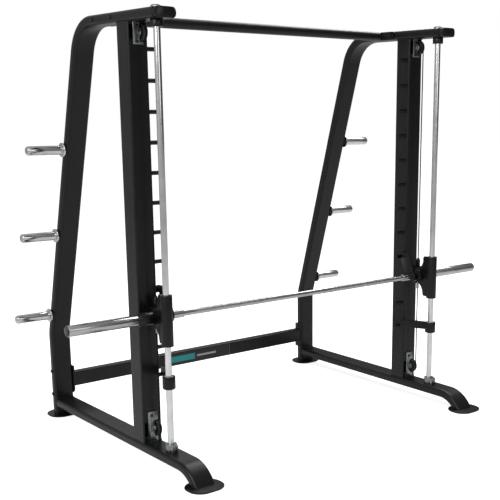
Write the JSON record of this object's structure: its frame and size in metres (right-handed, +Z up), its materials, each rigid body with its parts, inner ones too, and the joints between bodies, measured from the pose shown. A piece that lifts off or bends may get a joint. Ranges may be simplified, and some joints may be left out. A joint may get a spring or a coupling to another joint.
{
  "type": "smith machine",
  "caption": "Counterbalanced smith machine: bent-tube frame, vertical guide rods, sliding racked bar with turning hooks, safety stops and plate horns.",
  "frame": {"origin": "centre of the floor footprint, on the floor", "axes": "+X to the machine's right along the bar, +Y from the open front to the rear legs, +Z up"},
  "size_m": [2.656, 1.555, 2.097],
  "materials": {
    "frame_paint": "satin charcoal powder coat",
    "foot_paint": "satin black powder coat",
    "rubber": "matte",
    "panel": "plain printed panel with no lettering",
    "chrome": "polished",
    "peg_paint": "satin charcoal powder coat",
    "black_trim": "semi-gloss black",
    "zinc": "bright zinc plate",
    "disc_steel": "satin",
    "bolt_steel": "zinc plated",
    "black_bolt": "black oxide",
    "pulley_nylon": "moulded nylon",
    "cable_sheath": "black nylon sheath",
    "weight_iron": "plain",
    "carriage_paint": "semi-gloss black powder coat",
    "bronze": "sintered bronze",
    "bearing_steel": "ground",
    "nylon": "natural nylon"
  },
  "bodies": {
    "frame": {"left_frame_tube": "frame_paint", "right_frame_tube": "frame_paint", "left_upright": "frame_paint", "right_upright": "frame_paint", "left_base_rail": "frame_paint", "right_base_rail": "frame_paint", "front_foot_plates": "foot_paint", "rear_foot_plates": "foot_paint", "foot_pads": "rubber", "top_cross_tube": "frame_paint", "top_cross_plates": "frame_paint", "rear_cross_member": "frame_paint", "rear_cross_brackets": "frame_paint", "label_panel": "panel", "left_rack_pegs": "peg_paint", "right_rack_pegs": "peg_paint", "left_guide_rod": "chrome", "right_guide_rod": "chrome", "rod_top_collars": "black_trim", "left_rod_clamp": "zinc", "right_rod_clamp": "zinc", "rod_clamp_screws": "bolt_steel", "tube_end_caps": "black_trim", "top_discs": "disc_steel", "left_upper_bracket": "zinc", "right_upper_bracket": "zinc", "left_lower_bracket": "zinc", "right_lower_bracket": "zinc", "pulley_axles": "bolt_steel", "bracket_bolts": "black_bolt", "left_cable": "cable_sheath", "right_cable": "cable_sheath", "left_storage_horns": "chrome", "right_storage_horns": "chrome", "horn_flanges": "chrome", "horn_bosses": "black_trim", "frame_bolts": "black_bolt"},
    "carriages": {"left_carriage": "carriage_paint", "right_carriage": "carriage_paint", "linear_bushings": "bronze", "bar_bearings": "bearing_steel", "cable_clamps": "black_trim", "cable_tensioners": "zinc"},
    "bar": {"bar_shaft": "chrome", "left_sleeve": "chrome", "right_sleeve": "chrome", "bar_hubs": "black_trim", "sleeve_end_caps": "disc_steel", "left_hook": "carriage_paint", "right_hook": "carriage_paint"},
    "left_weight": {"left_counterweight": "weight_iron"},
    "right_weight": {"right_counterweight": "weight_iron"},
    "left_upper_wheel": {"left_upper_pulley": "pulley_nylon"},
    "right_upper_wheel": {"right_upper_pulley": "pulley_nylon"},
    "left_lower_wheel": {"left_lower_pulley": "pulley_nylon"},
    "right_lower_wheel": {"right_lower_pulley": "pulley_nylon"},
    "left_stop_slider": {"left_stop_bush": "nylon"},
    "right_stop_slider": {"right_stop_bush": "nylon"},
    "left_stop": {"left_stop_arm": "carriage_paint"},
    "right_stop": {"right_stop_arm": "carriage_paint"}
  },
  "joints": [
    {"name": "bar_lift", "type": "slide", "parent": "frame", "child": "carriages", "axis": [0, 0, 1], "range_m": [-0.107, 1.098]},
    {"name": "bar_turn", "type": "hinge", "parent": "carriages", "child": "bar", "pos_m": [0, -0.3385, 0.723], "axis": [1, 0, 0], "range_deg": [0, 45]},
    {"name": "left_weight_slide", "type": "slide", "parent": "frame", "child": "left_weight", "axis": [0, 0, 1], "range_m": [-1.1, 0.11]},
    {"name": "right_weight_slide", "type": "slide", "parent": "frame", "child": "right_weight", "axis": [0, 0, 1], "range_m": [-1.1, 0.11]},
    {"name": "left_upper_wheel_turn", "type": "hinge", "parent": "frame", "child": "left_upper_wheel", "pos_m": [-0.856, -0.2655, 1.994], "axis": [1, 0, 0], "range_deg": [-1800, 180]},
    {"name": "left_lower_wheel_turn", "type": "hinge", "parent": "frame", "child": "left_lower_wheel", "pos_m": [-0.856, -0.2655, 0.165], "axis": [1, 0, 0], "range_deg": [-1800, 180]},
    {"name": "right_upper_wheel_turn", "type": "hinge", "parent": "frame", "child": "right_upper_wheel", "pos_m": [0.9, -0.2655, 1.994], "axis": [1, 0, 0], "range_deg": [-1800, 180]},
    {"name": "right_lower_wheel_turn", "type": "hinge", "parent": "frame", "child": "right_lower_wheel", "pos_m": [0.9, -0.2655, 0.165], "axis": [1, 0, 0], "range_deg": [-1800, 180]},
    {"name": "left_stop_slide", "type": "slide", "parent": "frame", "child": "left_stop_slider", "axis": [0, 0, 1], "range_m": [-0.24, 0.048]},
    {"name": "left_stop_swivel", "type": "hinge", "parent": "left_stop_slider", "child": "left_stop", "pos_m": [-0.878, -0.429, 0.43], "axis": [0, 0, -1], "range_deg": [0, 60]},
    {"name": "right_stop_slide", "type": "slide", "parent": "frame", "child": "right_stop_slider", "axis": [0, 0, 1], "range_m": [-0.24, 0.048]},
    {"name": "right_stop_swivel", "type": "hinge", "parent": "right_stop_slider", "child": "right_stop", "pos_m": [0.878, -0.429, 0.43], "axis": [0, 0, 1], "range_deg": [0, 60]}
  ],
  "couplings": [
    {"joint": "left_weight_slide", "follows": "bar_lift", "ratio": -1},
    {"joint": "right_weight_slide", "follows": "bar_lift", "ratio": -1},
    {"joint": "left_upper_wheel_turn", "follows": "bar_lift", "rad_per_m": -28.571},
    {"joint": "left_lower_wheel_turn", "follows": "bar_lift", "rad_per_m": -28.571},
    {"joint": "right_upper_wheel_turn", "follows": "bar_lift", "rad_per_m": -28.571},
    {"joint": "right_lower_wheel_turn", "follows": "bar_lift", "rad_per_m": -28.571}
  ]
}
